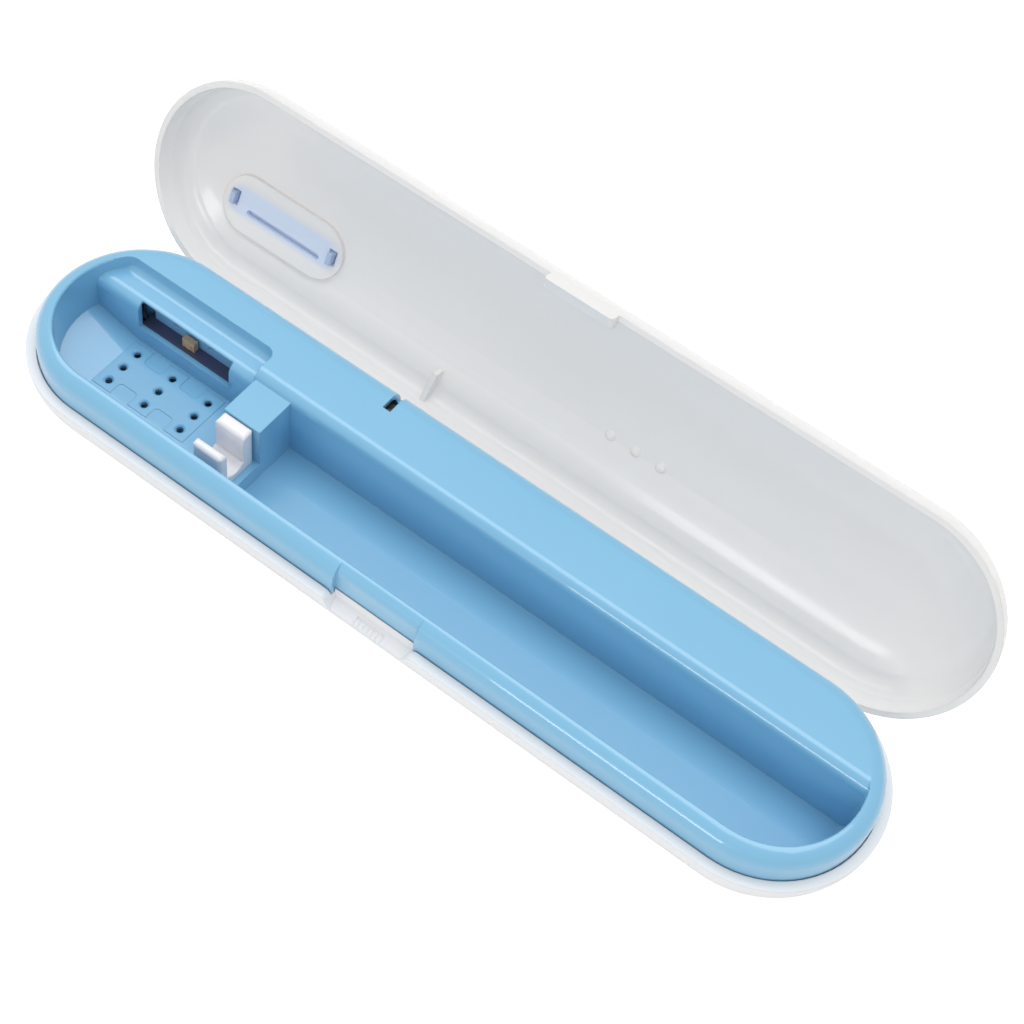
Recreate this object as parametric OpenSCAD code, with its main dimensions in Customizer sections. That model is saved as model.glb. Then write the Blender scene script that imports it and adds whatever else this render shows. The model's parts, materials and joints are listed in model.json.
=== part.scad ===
// Travel case for a toothbrush with a germ lamp: a white lower shell, a blue
// tray with trough, lamp bay, drain floor and brush clip, and a clear white lid.
// X runs along the case towards the plain end of the trough, -Y is the front
// with the snap, +Y the hinge, and Z = 0 is the flat underside.

/* [Case] */
// Overall length of the closed case
case_len = 225; // [215:1:240]
// Overall width of the closed case
case_w = 52.8; // [52.4:0.1:54]
// Height of the lower shell from the underside to its rim
base_h = 16.5; // [16.2:0.1:18]
// Height of the lid from its rim to its crown
lid_h = 13; // [12.8:0.1:15]
// Width of the flat underside
foot_w = 28; // [26:0.5:30]
// Wall of the lower shell
base_wall = 1.6; // [1.4:0.1:1.8]
// Wall of the lid
lid_wall = 1.5; // [1.3:0.1:1.6]
// Height of the upright band at the rim of the lower shell
base_band = 0.8; // [0.5:0.1:1.2]
// Height of the upright band at the rim of the lid
lid_band = 1.2; // [0.8:0.1:1.5]
// Open angle of the lid at its stop
open_angle = 111; // [90:1:111]

/* [Tray] */
// Outer width of the tray at its foot, where it stands in the shell
tray_w = 47.7; // [47.5:0.1:47.8]
// Height of the deck above the rim of the shell
deck_h = 8; // [7.8:0.1:8.2]
// Radius of the rounded outer top edge of the tray
tray_round = 4; // [3.6:0.1:4.2]
// Thickness of the deck and of the skirt
tray_skin = 1.4; // [1.2:0.1:1.5]
// Thickness of the walls and floors of the compartments
tub_wall = 1.3; // [1.1:0.1:1.4]
// Radius of the compartments' end walls
tub_r = 19.7; // [19.4:0.1:19.8]
// Place of the long rear wall of the trough
wall_y = 5.3; // [5:0.1:5.6]
// Depth of the trough below the rim of the shell
trough_d = 11; // [10:0.25:11.25]
// Depth of the head compartment below the rim
head_d = 9; // [8:0.25:9.5]
// Depth of the clip's seat below the rim
seat_d = 6; // [5:0.25:7]
// Radius where a compartment's end wall meets its floor
tub_round = 1.6; // [1.2:0.1:2.4]
// Radius of the inner top edge of the tray's rim
rim_round = 0.6; // [0.4:0.1:0.8]
// Rise of the ramp at the head end of the head compartment
ramp_h = 3.5; // [2:0.25:4]
// Radius of the rounded front edge of the deck
deck_round = 3; // [2:0.25:3]
// Distance of the block from the head end of the case
block_at = 55.5; // [55:0.1:57]
// Length of the block along the case
block_l = 10.3; // [9.8:0.1:11]
// Front face of the block
block_y = -5.3; // [-5.6:0.1:-5]
// Depth of the block's top below the deck
block_drop = 2; // [1.5:0.1:2.5]
// Depth of the shoulder over the lamp below the deck
shelf_drop = 3.7; // [3.4:0.1:3.9]
// Rear wall of the recess over the lamp
bay_y = 13.4; // [13:0.1:14]

/* [Drain floor] */
// Bore of a drain hole
drain_d = 1.7; // [1:0.1:2.2]
// Countersink of a drain hole
drain_sink = 2.6; // [2.3:0.1:3]
// Spacing of the drain holes along the case
drain_px = 10.9; // [9:0.1:11.5]
// Spacing of the drain holes across the case
drain_py = 4.9; // [4:0.1:5]
// Distance of the middle hole from the head end
drain_at = 33.4; // [32.5:0.1:34.5]
// Middle hole across the case
drain_y = -3.2; // [-4:0.1:-2.8]

/* [Lamp] */
// Length of the lamp opening
lamp_l = 27.4; // [24:0.2:29]
// Distance of the lamp opening's middle from the head end
lamp_at = 33.9; // [33.5:0.1:34.5]
// Lower edge of the lamp opening below the rim
lamp_low = 4.1; // [3.8:0.1:4.4]
// Upper edge of the lamp opening above the rim
lamp_high = 3.95; // [3.6:0.05:4.1]
// Thickness of the lamp board
lamp_board_t = 1; // [0.8:0.1:1.2]
// Depth of the lamp board from front to back
lamp_board_w = 4; // [3.8:0.1:4.4]
// Thickness of the reflector plate
reflector_t = 0.8; // [0.6:0.1:1]
// Width of the lamp chip's package
led_w = 3.6; // [3.5:0.1:4.5]
// Height of the lamp chip's package
led_h = 2.8; // [2.6:0.1:3.2]
// Depth of the lamp chip's package
led_t = 1.5; // [1.2:0.1:1.6]

/* [Brush clip] */
// Length of the clip along the brush neck
clip_l = 8.3; // [7:0.1:9]
// Gap that holds the brush neck
clip_gap = 5.7; // [5:0.1:6]
// Thickness of the rear prong
clip_rear = 3.4; // [3:0.1:3.6]
// Thickness of the front prong
clip_front = 2.3; // [2:0.1:2.5]
// Height of the prongs above the seat
clip_h = 12; // [10:0.25:12.25]
// Thickness of the clip's floor
clip_floor = 2; // [1.5:0.1:2.5]
// Rounding of the prongs' edges
clip_round = 1.1; // [0.8:0.1:1.1]

/* [Hinge] */
// Hinge axis in from the rear of the case
axis_in = 1.45; // [1.4:0.05:1.6]
// Hinge axis below the rim of the shell
axis_down = 1.75; // [1.7:0.05:1.9]
// Diameter of the hinge pins
pin_d = 1.2; // [1:0.05:1.3]
// Running clearance of the lid's knuckle on its pin, on the radius
pin_clear = 0.05; // [0.03:0.01:0.08]
// Outer diameter of a knuckle
knuckle_d = 2.9; // [2.7:0.05:2.9]
// Length of the lid's knuckle
lid_knuckle = 10; // [8:0.5:12]
// Length of each of the shell's knuckles
base_knuckle = 5; // [4:0.5:6]
// Gap between two knuckles
knuckle_gap = 0.3; // [0.25:0.05:0.4]
// Distance of a hinge from the middle of the case
hinge_x = 52; // [48:1:60]
// Gap between the closed lid and the shell
rim_gap = 0.2; // [0.15:0.05:0.3]

/* [Snap] */
// Width of the recess for the snap
snap_w = 22; // [20:0.5:24]
// Depth of the recess in the front of the tray
snap_recess = 1.3; // [1.2:0.05:1.35]
// Width of the lid's tongue
tongue_w = 17.8; // [16:0.2:18]
// Depth of the steep face behind the tongue
snap_step = 2.3; // [2:0.1:2.5]
// Depth of the slope under the tongue at the front of the shell
scoop_d = 3.5; // [3.2:0.1:3.8]
// Length of the snap's groove
groove_l = 7.2; // [7:0.2:9]

/* [Lid fittings] */
// Distance of the window's middle from the head end
window_at = 33; // [32:0.1:34]
// Middle of the lid's window across the case
window_y = 8.3; // [8:0.1:8.8]
// Length of the window
window_l = 33.5; // [32:0.5:35]
// Width of the window
window_w = 7.5; // [7:0.1:8]
// Thickness of the window
window_t = 1; // [0.8:0.1:1.1]
// Length of the boss around the window
boss_l = 35; // [35:0.5:37]
// Width of the boss around the window
boss_w = 14.6; // [13:0.2:15]
// Height of the boss on the inside of the lid
boss_t = 1; // [0.8:0.1:1.2]
// Distance of the middle pip from the head end
pip_at = 134; // [133:0.5:135]
// Diameter of the three locating pips
pip_d = 3.2; // [2.8:0.1:3.4]
// Spacing of the pips
pip_pitch = 6.85; // [6:0.05:7.5]

/* [Switch] */
// Distance of the switch slot from the head end
slot_at = 83.9; // [82.5:0.1:85]
// Middle of the switch slot across the case
slot_y = 18.7; // [18.6:0.05:18.8]
// Width of the switch slot
slot_w = 2.1; // [2:0.05:2.4]
// Length of the switch slot
slot_l = 3.6; // [3.5:0.05:3.8]
// Thickness of the lid's rib that presses the switch
rib_t = 1.3; // [1:0.1:1.4]
// Reach of the rib below the deck
rib_reach = 1.5; // [1:0.1:1.6]
// Travel of the switch's plunger
plunger_travel = 0.5; // [0.3:0.1:0.6]
// Diameter of the plunger
plunger_d = 1.6; // [1.2:0.1:1.8]

/* [Electrics] */
// Diameter of a cell
cell_d = 10.5; // [10.3:0.1:10.5]
// Length of a cell with its nub
cell_l = 44.5; // [44:0.1:45]
// Middle of the cells across the case
cell_y = 13; // [12.9:0.1:13.2]
// Gap round the cells in their bay
cell_gap = 0.15; // [0.1:0.05:0.2]
// Room for the spring contact beyond the two cells
spring_room = 8; // [7.5:0.1:8.2]
// Thickness of the circuit board
board_t = 1.2; // [1:0.1:1.6]
// Length of the circuit board
board_l = 40; // [36:1:41]
// Width of the circuit board
board_w = 13.6; // [12:0.2:14]

/* [Hidden] */
$fn = 72;

case_r = case_w / 2;
half = case_len / 2 - case_r;
foot_r = foot_w / 2;
base_curve = 1.7;
lid_curve = 2.2;
crown_r = 5;
big = 300;
steps = 9;

// Places along the case, measured from its head end
head_end = -case_len / 2;
block_x0 = head_end + block_at;
block_x1 = block_x0 + block_l;
lamp_x = head_end + lamp_at;
led_x = lamp_x - 0.9;
lamp_board_z = base_h - lamp_low - 0.1 - lamp_board_t;
lamp_board_y = wall_y + tub_wall + 0.1;
ledge_t = 1.2;
drain_x = head_end + drain_at;
window_x = head_end + window_at;
slot_x = head_end + slot_at;
pip_x = head_end + pip_at;

// Tray and its seat in the shell
tray_r = tray_w / 2;
seat_step = 1.2;
seat_clear = 0.2;
seat_in = tray_r - tray_skin - 0.15;
deck_z = base_h + deck_h;
trough_z = base_h - trough_d;
head_z = base_h - head_d;
clip_z = base_h - seat_d;
block_z = deck_z - block_drop;
shelf_z = deck_z - shelf_drop;
bay_x1 = block_x0 - 0.4;
bay_corner = 2.5;
bay_round = 3.5;
panel_t = 0.12;
tub_heel = 4.3;

// Hinge
axis_y = case_r - axis_in;
axis_z = base_h - axis_down;
pin_r = pin_d / 2;
knuckle_r = knuckle_d / 2;
corner_r = norm([axis_in, axis_down + rim_gap]);
hinge_clear = 0.3;
groove_r = corner_r + hinge_clear;
rabbet_r = tray_r + 0.65;
pocket_y = tray_r + 0.35;
pin_l = lid_knuckle + 2 * base_knuckle + 2 * knuckle_gap;

// Cells, door and boards
cell_r = cell_d / 2;
bay_half = cell_r + cell_gap;
bay_l = 2 * cell_l + spring_room;
bay_x0 = half + 4.9 - bay_l;
door_t = base_wall;
door_gap = 0.3;
cell_z = door_t + 0.3 + cell_r;
bay_wall = 1;
bay_end = 1.2;
contact_t = 0.4;
contact_half = cell_r - 1.25;
wire_r = 0.35;
lug_w = 1.6;
lug_y = cell_y - bay_half + 0.7;
lug_z = base_wall + 0.25;
lug_t = 0.8;
vent_out = 5.35;
vent_up = 2.6;
spring_l = bay_l - 2 * cell_l - 2 * contact_t - 0.3;
deck_under = deck_z - tray_skin;
board_z = base_h + 1;
board_end = 9;
board_x = slot_x + board_end - board_l / 2;
board_hole = board_l / 2 - 3;
can_h = 6;
can_r = 2.5;
board_y = cell_y + 1.2;
switch_h = 3;
plunger_y = slot_y - slot_l / 2 + 1;
rib_tip = deck_z - rib_reach;
rib_y0 = slot_y - slot_l / 2 + 0.3;
rib_y1 = rib_y0 + 0.8;
rib_foot_y = tray_r + 0.35;
rib_foot_z = base_h + 4.5;
notch_clear = 0.9;
plunger_top = rib_tip - 0.3;
dome_floor = 0.4;
dome_r = 1.7;
dome_h = 0.5;
foot_t = 0.5;
plunger_foot = board_z + board_t + dome_floor + dome_h + plunger_travel + 0.05;

// Snap
snap_y = tray_r - snap_recess;
step_top = snap_y + 0.3;
step_foot = step_top + 0.35;
slope_run = case_r - step_foot;
slope_a = atan((scoop_d - snap_step) / slope_run);
slope_flat = tongue_w - 0.6;
slope_round = 1.7;
tongue_clear = 0.3;
tongue_round = 1;
groove_in = 0.9;

// Lid fittings
hook_x = window_l / 2 - 2.15;
pip_y = window_y - 0.2;
crown_z = base_h + lid_h;
low_z = base_h + 5;

// Places of the screws that hold the tray down: x, y and foot of the tray's boss
screw_x = [(block_x0 + block_x1) / 2, half + 12.3, -half - 8.6];
screw_y = [0.3, 11.2, 13.2];
joint_z = 8.6;
screw_r = 1;
head_r = 2;
head_h = 1.6;
screw_l = 9;
screw_sink = 3;
bore_l = 8;
board_grip = 3;
can_x = board_x + board_l / 4 - 1;
post_r = 3;
post_clear = 0.2;

// Points of an arc from angle a0 to a1
function arc(cx, cy, r, a0, a1, n = 8) =
    [for (i = [0:n]) [cx + r * cos(a0 + (a1 - a0) * i / n), cy + r * sin(a0 + (a1 - a0) * i / n)]];

// Lower quarter of a rounded bowl: flat width f, full radius r, heights z0 to z1
function bowl(r, f, z0, z1, n = steps) =
    [for (i = [0:n]) let (a = 90 * i / n)
        [f + (r - f) * pow(sin(a), 2 / base_curve), z0 + (z1 - z0) * (1 - pow(cos(a), 2 / base_curve))]];

// Upper quarter of the lid from its band to its crown
function dome(r, f, z0, z1, n = steps) =
    [for (i = [0:n]) let (a = 90 * i / n)
        [f + (r - f) * pow(cos(a), 2 / lid_curve), z0 + (z1 - z0) * pow(sin(a), 2 / lid_curve)]];

// Sweeps a half profile, radius against height, round the long outline
module run_round(length = half) {
    for (s = [-1, 1])
        translate([s * length, 0, 0])
            rotate([0, 0, -90 * s])
                rotate_extrude(angle = 180)
                    children();
    rotate([90, 0, 90])
        linear_extrude(2 * length, center = true) {
            children();
            mirror([1, 0]) children();
        }
}

// Extrudes a profile of y against z along x
module along_x(x0, x1) {
    translate([x0, 0, 0])
        rotate([90, 0, 90])
            linear_extrude(x1 - x0)
                children();
}

// Block between two corners
module span(a, b) {
    translate(a)
        cube(b - a);
}

// Upright slot shape with round ends along x
module long_oval(l, w) {
    square([l - w, w], center = true);
    for (s = [-1, 1])
        translate([s * (l - w) / 2, 0])
            circle(w / 2);
}

// Cylinder on the hinge axis
module on_axis(x0, x1, r) {
    translate([x0, axis_y, axis_z])
        rotate([0, 90, 0])
            cylinder(h = x1 - x0, r = r, $fn = 48);
}

// Solid that a compartment is cut from or built round
module tub(r, floor_z, round, top_z) {
    run_round()
        polygon(concat([[0, floor_z]], arc(r - round, floor_z + round, round, -90, 0),
            [[r, top_z], [0, top_z]]));
}

// Whole lower shell with nothing cut from it
module base_solid(top_z) {
    run_round()
        polygon(concat([[0, 0]], bowl(case_r, foot_r, 0, base_h - base_band),
            [[case_r, top_z], [0, top_z]]));
}

// Space inside the lower shell
module base_hollow() {
    run_round()
        polygon(concat([[0, base_wall]],
            bowl(case_r - base_wall, foot_r, base_wall, base_h - base_band),
            [[case_r - base_wall, base_h + 1], [0, base_h + 1]]));
}

// Opening for the battery door, grown by g at its edges
module door_plan(g, z0, z1) {
    span([bay_x0 - g, cell_y - bay_half - g, z0], [bay_x0 + bay_l + g, cell_y + bay_half + g, z1]);
}

// White lower shell with seat, cell bay, screw posts, knuckles and snap
module base_shell() {
    color("white")
        difference() {
            union() {
                difference() {
                    base_solid(base_h);
                    base_hollow();
                }
                // Thick rim that carries the tray
                run_round()
                    polygon([[seat_in, base_h - 4], [case_r - base_wall - 0.9, base_h - 6.5],
                        [case_r - base_wall / 2, base_h - 5], [case_r - 0.4, base_h - base_band],
                        [case_r - 0.4, base_h], [seat_in, base_h]]);
                cell_bay();
                for (i = [0:2])
                    translate([screw_x[i], screw_y[i], base_wall / 2])
                        cylinder(h = joint_z - post_clear - base_wall / 2, r = post_r);
                // Webs and barrels of the shell's knuckles
                for (s = [-1, 1])
                    for (k = [-1, 1])
                        knuckle_block(s * hinge_x + k * (lid_knuckle + base_knuckle + 2 * knuckle_gap) / 2);
            }
            // Step in the rim that the tray's skirt stands in
            run_round()
                polygon([[0, base_h - seat_step], [tray_r + seat_clear, base_h - seat_step],
                    [tray_r + seat_clear, base_h + 1], [0, base_h + 1]]);
            hinge_pocket();
            for (s = [-1, 1])
                on_axis(s * hinge_x - pin_l / 2, s * hinge_x + pin_l / 2, pin_r);
            snap_slope();
            snap_groove();
            translate([0, 0, -1])
                door_plan(0, 0, base_wall + 4);
            // Way for the door's lug through the end wall
            span([bay_x0 - 3, lug_y - 0.3, base_wall],
                [bay_x0 + 0.1, lug_y + lug_w + 0.3, lug_z + lug_t + 0.9]);
            for (i = [0:2]) {
                translate([screw_x[i], screw_y[i], -1])
                    cylinder(h = joint_z + 1, r = screw_r + 0.2);
                translate([screw_x[i], screw_y[i], -1])
                    cylinder(h = joint_z - screw_sink + 1, r = head_r + 0.25);
            }
        }
    color("white")
        snap_fill();
}

// Front, rear and end walls round the cells, inside the shell
module cell_bay() {
    top = cell_z + 1.5;
    intersection() {
        base_solid(base_h);
        difference() {
            span([bay_x0 - bay_end, cell_y - bay_half - bay_wall, base_wall / 2],
                [bay_x0 + bay_l + bay_end, cell_y + bay_half + bay_wall, top]);
            span([bay_x0, cell_y - bay_half, 0], [bay_x0 + bay_l, cell_y + bay_half, top + 1]);
        }
    }
}

// One knuckle of the shell with the web under it
module knuckle_block(x) {
    on_axis(x - base_knuckle / 2, x + base_knuckle / 2, knuckle_r);
    span([x - base_knuckle / 2, pocket_y - 0.5, axis_z - 3], [x + base_knuckle / 2, axis_y + 0.6, axis_z]);
}

// Room for the turning rim of the lid, left out where the shell has knuckles
module hinge_pocket() {
    outer = lid_knuckle / 2 + knuckle_gap + base_knuckle;
    inner = lid_knuckle / 2 + knuckle_gap;
    ends = [[-half - 10, -hinge_x - outer], [-hinge_x - inner, -hinge_x + inner],
        [-hinge_x + outer, hinge_x - outer], [hinge_x - inner, hinge_x + inner],
        [hinge_x + outer, half + 10]];
    for (e = ends)
        intersection() {
            on_axis(e[0], e[1], groove_r);
            span([e[0], pocket_y, 0], [e[1], big, big]);
        }
    // Over a knuckle only the corner outside the barrel is cleared
    for (s = [-1, 1])
        for (k = [-1, 1])
            difference() {
                x = s * hinge_x + k * (inner + outer) / 2;
                intersection() {
                    on_axis(x - base_knuckle / 2, x + base_knuckle / 2, groove_r);
                    span([x - base_knuckle / 2, pocket_y, 0], [x + base_knuckle / 2, big, big]);
                }
                knuckle_block(x);
            }
    for (s = [-1, 1])
        on_axis(s * hinge_x - inner, s * hinge_x + inner, knuckle_r + 0.25);
}

// Filling between the rim and the recessed front of the tray
module snap_fill() {
    difference() {
        span([-snap_w / 2 + 0.15, -tray_r - seat_clear - 0.4, base_h - seat_step - 1],
            [snap_w / 2 - 0.15, -snap_y - 0.12, base_h]);
        snap_slope();
    }
}

// Hollow in front of the recess: a steep face, then a slope that runs out softly at both ends
module snap_slope() {
    intersection() {
        along_x(-snap_w, snap_w)
            polygon([[-step_top, base_h], [-step_foot, base_h - snap_step],
                [-case_r, base_h - scoop_d], [-big, base_h - scoop_d], [-big, base_h + 30],
                [-step_top, base_h + 30]]);
        translate([0, 0, base_h - scoop_d])
            rotate([90, 0, 0])
                linear_extrude(big)
                    soft_outline(slope_flat / 2, scoop_d, slope_round);
    }
}

// Open-topped outline whose sides turn up from the foot and out again at height h
module soft_outline(w, h, r) {
    side = concat(arc(w, r, r, -90, -30), arc(w + 2 * r * cos(30) + (h - r) / tan(60), h - r, r, 150, 90));
    polygon(concat(side, [[w + 20, h], [w + 20, h + 9], [-w - 20, h + 9], [-w - 20, h]],
        [for (i = [len(side) - 1:-1:0]) [-side[i][0], side[i][1]]]));
}

// Thin groove in the slope that the tongue snaps into
module snap_groove() {
    translate([0, -step_foot - groove_in, base_h - snap_step - groove_in * tan(slope_a)])
        rotate([0, 90, 0])
            cylinder(h = groove_l, r = 0.25, center = true, $fn = 24);
}

// Door of the cell bay, cut from the same curved wall
module battery_door() {
    color("white") {
        difference() {
            intersection() {
                door_plan(-door_gap, 0, base_wall + 4);
                base_solid(base_h);
            }
            base_hollow();
            // Finger hollow at the free end
            translate([bay_x0 + bay_l - 7, cell_y - 2.5, -1.6])
                sphere(2.4);
        }
        // Lug that holds the fixed end inside the shell
        span([bay_x0 - lug_w, lug_y, lug_z], [bay_x0 + 2, lug_y + lug_w, lug_z + lug_t]);
        span([bay_x0 + door_gap, lug_y, base_wall - 0.2], [bay_x0 + 2, lug_y + lug_w, lug_z + lug_t / 2]);
    }
}

// One cell with its nub towards -x
module cell(x0) {
    nub = 0.9;
    color("seagreen")
        translate([x0, cell_y, cell_z])
            rotate([0, 90, 0]) {
                cylinder(h = nub + 0.2, r = 1.9);
                translate([0, 0, nub])
                    cylinder(h = cell_l - nub, r = cell_r);
            }
}

module battery_cell_1() {
    cell(bay_x0 + contact_t + 0.1);
}

module battery_cell_2() {
    cell(bay_x0 + contact_t + 0.1 + cell_l);
}

// Coned coil on its plate at the trough end of the bay
module spring_contact() {
    turns = 4;
    seat_x = bay_x0 + bay_l - contact_t;
    color("gainsboro") {
        span([seat_x, cell_y - contact_half, cell_z - contact_half + 0.6],
            [seat_x + contact_t, cell_y + contact_half, cell_z + contact_half + 0.6]);
        for (i = [0:turns - 1])
            translate([seat_x - 0.2 - (spring_l - 0.8) * i / (turns - 1), cell_y, cell_z])
                rotate([0, 90, 0])
                    rotate_extrude($fn = 32)
                        translate([contact_half - 0.6 - 0.5 * i, 0])
                            circle(wire_r, $fn = 14);
        // Upright of the wire that joins the turns
        translate([seat_x - spring_l + 0.4, cell_y, cell_z])
            rotate([0, 90, 0])
                cylinder(h = spring_l - 0.3, r1 = contact_half - 2.05, r2 = contact_half - 0.55, $fn = 32);
    }
}

module plate_contact() {
    color("gainsboro") {
        span([bay_x0, cell_y - contact_half, cell_z - contact_half + 0.9],
            [bay_x0 + contact_t, cell_y + contact_half, cell_z + contact_half + 0.6]);
    }
}

module main_board() {
    color("seagreen")
        difference() {
            span([board_x - board_l / 2, board_y - board_w / 2, board_z],
                [board_x + board_l / 2, board_y + board_w / 2, board_z + board_t]);
            for (s = [-1, 1])
                translate([board_x + s * (board_hole), board_y, board_z - 1])
                    cylinder(h = board_t + 2, r = 1.1);
        }
}

module timer_chip() {
    color("dimgray") {
        span([board_x - 8, board_y - 3, board_z - 1.5], [board_x - 3, board_y + 1, board_z]);
        for (i = [0:3])
            for (s = [-1, 1])
                translate([board_x - 7.4 + 1.27 * i, board_y - 1 + s * 2.4, board_z - 0.4])
                    cube([0.4, 1.2, 0.8], center = true);
    }
}

module capacitor() {
    color("midnightblue")
        translate([can_x, board_y - 1, board_z - can_h])
            cylinder(h = can_h, r = can_r);
}

module board_screws() {
    color("silver")
        for (s = [-1, 1])
            translate([board_x + s * (board_hole), board_y, board_z]) {
                translate([0, 0, -1.2])
                    cylinder(h = 1.2, r = 1.9);
                cylinder(h = board_t + board_grip, r = 0.8);
            }
}

// Push switch under the slot in the deck
module switch_body() {
    z0 = board_z + board_t;
    color("black")
        difference() {
            span([slot_x - 3, plunger_y - 3, z0], [slot_x + 3, plunger_y + 3, z0 + switch_h]);
            translate([slot_x, plunger_y, z0 + dome_floor])
                cylinder(h = plunger_foot + foot_t + 0.15 - z0 - dome_floor, r = dome_r + 0.2);
            translate([slot_x, plunger_y, z0 + 1])
                cylinder(h = switch_h, r = plunger_d / 2 + 0.08);
        }
}

module switch_plunger() {
    color("whitesmoke")
        translate([slot_x, plunger_y, plunger_foot]) {
            cylinder(h = plunger_top - plunger_foot, r = plunger_d / 2);
            cylinder(h = foot_t, r = dome_r - 0.2);
        }
}

// Metal dome that clicks under the plunger
module switch_dome() {
    color("silver")
        translate([slot_x, plunger_y, board_z + board_t + dome_floor])
            rotate_extrude($fn = 32)
                polygon([[0, dome_h - 0.15], [dome_r - 0.5, 0.12], [dome_r - 0.3, 0], [dome_r, 0],
                    [dome_r, 0.15], [dome_r - 0.3, 0.2], [0.5, dome_h], [0, dome_h]]);
}

// Blue tray: rounded cap over the shell with the compartments hung in it
module tray() {
    color("skyblue")
        difference() {
            union() {
                tray_cap();
                intersection() {
                    tub(tub_r + tub_wall, trough_z - tub_wall, tub_heel, deck_z - 0.5);
                    span([block_x1 - tub_wall, -big, 0], [big, wall_y + tub_wall, big]);
                }
                intersection() {
                    tub(tub_r + tub_wall, head_z - tub_wall, tub_heel, deck_z - 0.5);
                    span([-big, -big, 0], [block_x0 + tub_wall, wall_y + tub_wall, big]);
                }
                intersection() {
                    tub(tub_r + tub_wall, clip_z - tub_wall, 1, deck_z - 0.5);
                    span([block_x0 - tub_wall, -big, 0], [block_x1 + tub_wall, block_y + tub_wall, big]);
                }
                intersection() {
                    tub(tub_r + tub_wall, shelf_z - tub_wall, 0.5, deck_z - 0.5);
                    span([-big, wall_y, 0], [bay_x1 + tub_wall, bay_y + tub_wall, big]);
                }
                span([block_x0, block_y, block_z - tub_wall], [block_x1, wall_y + tub_wall, block_z]);
                span([block_x0, wall_y, block_z - tub_wall], [block_x1, wall_y + tub_wall, deck_z - 0.5]);
                // Ledge that carries the lamp board
                span([lamp_x - lamp_l / 2 - 1, wall_y + tub_wall - 0.2, lamp_board_z - ledge_t],
                    [lamp_x + lamp_l / 2 + 1, wall_y + tub_wall + lamp_board_w + 0.2, lamp_board_z]);
                // Backing of the snap recess
                intersection() {
                    tub(snap_y + 0.05, base_h - seat_step, 0.3, deck_z - 1.2);
                    span([-snap_w / 2 - 1.5, -tray_r, 0], [snap_w / 2 + 1.5, -tub_r - 0.3, big]);
                }
                bosses();
            }
            difference() {
                compartments();
                drain_panel();
            }
            drains();
            // Lamp opening
            span([lamp_x - lamp_l / 2, wall_y - 1, base_h - lamp_low],
                [lamp_x + lamp_l / 2, wall_y + 2.1, base_h + lamp_high]);
            rib_slot();
            snap_recess_cut();
            // Room for the lid's knuckles
            for (s = [-1, 1])
                on_axis(s * hinge_x - lid_knuckle / 2 - 1, s * hinge_x + lid_knuckle / 2 + 1,
                    knuckle_r + 0.25);
            boss_bores();
        }
}

// Slot in the deck for the rib, with a notch through the rear shoulder
module rib_slot() {
    translate([slot_x, slot_y, deck_z - 3])
        linear_extrude(4)
            square([slot_w, slot_l], center = true);
    along_x(slot_x - slot_w / 2, slot_x + slot_w / 2)
        polygon([[slot_y, deck_z + 1], [slot_y, rib_tip - notch_clear], [rib_y1, rib_tip - notch_clear],
            [rib_foot_y, rib_foot_z - notch_clear], [case_r, rib_foot_z - notch_clear],
            [case_r, deck_z + 1]]);
}

// Recess for the tongue of the lid, which fades out at the edge of the deck
module snap_recess_cut() {
    r0 = tray_r - tray_round;
    r1 = tray_round - snap_recess;
    along_x(-snap_w / 2, snap_w / 2)
        difference() {
            translate([-big, 0])
                square([big - r0, deck_z + 1]);
            translate([-r0, deck_z - r1])
                circle(r1);
            translate([-snap_y, -1])
                square([big, deck_z - r1 + 1]);
        }
}

// Skirt, rounded shoulder and deck as one skin
module tray_cap() {
    r0 = tray_r - tray_round;
    z0 = deck_z - tray_round;
    run_round()
        polygon(concat([[tray_r, base_h - seat_step]], arc(r0, z0, tray_round, 0, 90),
            [[0, deck_z], [0, deck_under]], arc(r0, z0, tray_round - tray_skin, 90, 0),
            [[tray_r - tray_skin, base_h - seat_step]]));
}

// Everything that is open above the compartments' floors
module compartments() {
    top = deck_z + 1;
    intersection() {
        tub(tub_r, trough_z, tub_round, top);
        span([block_x1, -big, 0], [big, wall_y, big]);
    }
    difference() {
        intersection() {
            tub(tub_r, head_z, tub_round, top);
            span([-big, -big, 0], [block_x0, wall_y, big]);
        }
        head_ramp();
    }
    intersection() {
        tub(tub_r, clip_z, 0.5, top);
        span([block_x0 - 1, -big, 0], [block_x1 + 1, block_y, big]);
    }
    intersection() {
        tub(tub_r, block_z, 0.2, top);
        span([block_x0 - 1, block_y - 1, block_z], [block_x1 + 1, wall_y, big]);
    }
    deck_edge(bay_x1, block_x0, 0);
    deck_edge(block_x0, block_x1, block_z);
    deck_edge(block_x1, case_len, 0);
    lamp_recess();
    rim_edge();
}

// Rounded front edge of the deck between two places, above height z
module deck_edge(x0, x1, z) {
    intersection() {
        tub(tub_r, deck_z - 2 * deck_round, 0.2, deck_z + 1);
        along_x(x0, x1)
            difference() {
                translate([wall_y, max(z, deck_z - deck_round)])
                    square([deck_round, deck_round + 1]);
                translate([wall_y + deck_round, deck_z - deck_round])
                    circle(deck_round);
            }
    }
}

// Inner top edge of the rim, rounded along the trough and round both ends
module rim_edge() {
    intersection() {
        run_round()
            difference() {
                translate([tub_r - 0.5, deck_z - rim_round])
                    square([rim_round + 0.5, rim_round + 1]);
                translate([tub_r + rim_round, deck_z - rim_round])
                    circle(rim_round);
            }
        union() {
            span([block_x0, -big, 0], [big, wall_y + rim_round, big]);
            span([-big, -big, 0], [block_x0, bay_y - bay_round, big]);
        }
    }
}

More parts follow.
